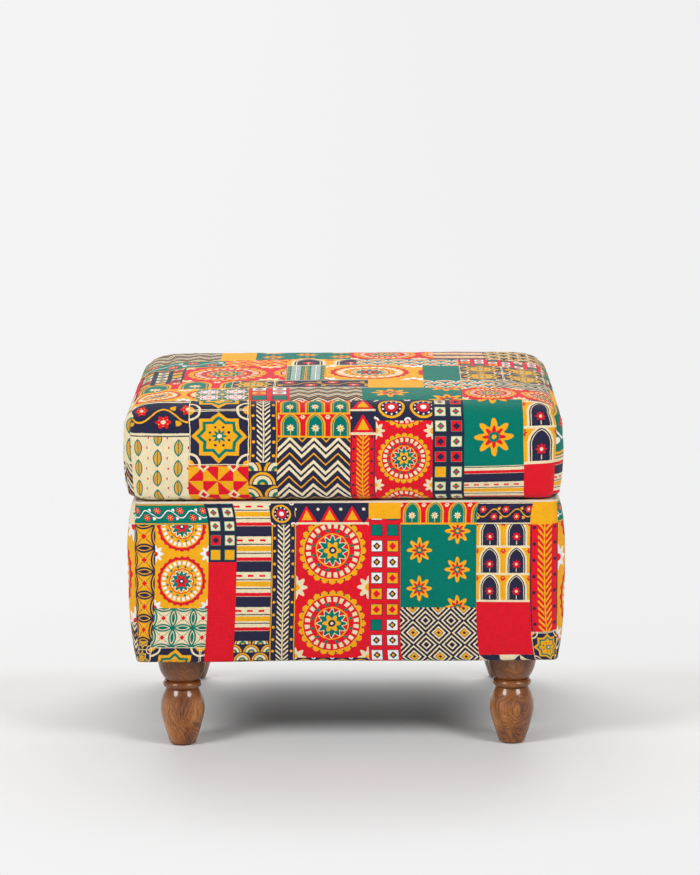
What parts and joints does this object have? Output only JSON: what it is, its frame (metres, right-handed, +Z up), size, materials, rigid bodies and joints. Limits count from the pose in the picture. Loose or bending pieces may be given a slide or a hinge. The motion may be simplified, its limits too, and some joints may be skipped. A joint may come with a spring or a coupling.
{
  "type": "storage ottoman",
  "caption": "Upholstered storage box on turned wooden legs, with a thick padded lid that lifts on rear hinges and is held by slotted stays.",
  "frame": {"origin": "on the floor under the middle of the box", "axes": "+Z up, +X along the width, the front faces -Y and the hinges are at +Y"},
  "size_m": [0.559, 0.457, 0.457],
  "materials": {
    "printed_cotton": "matte",
    "foam": "matte",
    "plywood": "matte",
    "pine_block": "matte",
    "turned_wood": "gloss",
    "lining_cotton": "matte",
    "dust_cloth": "matte",
    "hinge_steel": "satin",
    "stay_steel": "satin",
    "fastener_steel": "satin",
    "glide_nylon": "satin",
    "felt": "matte"
  },
  "bodies": {
    "base": {"bottom_board": "plywood", "front_panel": "plywood", "rear_panel": "plywood", "left_panel": "plywood", "right_panel": "plywood", "corner_blocks": "pine_block", "panel_screws": "fastener_steel", "bottom_screws": "fastener_steel", "front_pad": "foam", "rear_pad": "foam", "left_pad": "foam", "right_pad": "foam", "base_cover": "printed_cotton", "storage_lining": "lining_cotton", "dust_cover": "dust_cloth", "dust_cover_staples": "fastener_steel", "leg_front_left": "turned_wood", "leg_front_right": "turned_wood", "leg_rear_left": "turned_wood", "leg_rear_right": "turned_wood", "leg_hanger_bolts": "fastener_steel", "leg_tee_nuts": "fastener_steel", "leg_glides": "glide_nylon", "hinge_base_leaf_left": "hinge_steel", "hinge_base_leaf_right": "hinge_steel", "hinge_pin_left": "hinge_steel", "hinge_pin_right": "hinge_steel", "hinge_base_screws": "fastener_steel", "stay_base_plate_left": "stay_steel", "stay_base_plate_right": "stay_steel", "stay_base_screws": "fastener_steel", "rim_buffers": "felt"},
    "lid": {"lid_board": "plywood", "lid_foam": "foam", "lid_cover": "printed_cotton", "lid_lining": "lining_cotton", "lid_lining_staples": "fastener_steel", "hinge_lid_leaf_left": "hinge_steel", "hinge_lid_leaf_right": "hinge_steel", "hinge_lid_screws": "fastener_steel", "stay_lid_bracket_left": "stay_steel", "stay_lid_bracket_right": "stay_steel", "stay_rivet_left": "stay_steel", "stay_rivet_right": "stay_steel", "stay_lid_screws": "fastener_steel"},
    "stay_arm_left": {"stay_arm_left": "stay_steel"},
    "stay_arm_right": {"stay_arm_right": "stay_steel"}
  },
  "joints": [
    {"name": "lid_hinge", "type": "hinge", "parent": "base", "child": "lid", "pos_m": [0, 0.225, 0.3295], "axis": [-1, 0, 0], "range_deg": [0, 95]},
    {"name": "stay_pivot_left", "type": "hinge", "parent": "lid", "child": "stay_arm_left", "pos_m": [-0.2435, 0.13076, 0.3175], "axis": [-1, 0, 0], "range_deg": [-47.5, 0]},
    {"name": "stay_pivot_right", "type": "hinge", "parent": "lid", "child": "stay_arm_right", "pos_m": [0.2435, 0.13076, 0.3175], "axis": [-1, 0, 0], "range_deg": [-47.5, 0]}
  ],
  "couplings": [
    {"joint": "stay_pivot_left", "follows": "lid_hinge", "ratio": -0.5},
    {"joint": "stay_pivot_right", "follows": "lid_hinge", "ratio": -0.5}
  ]
}
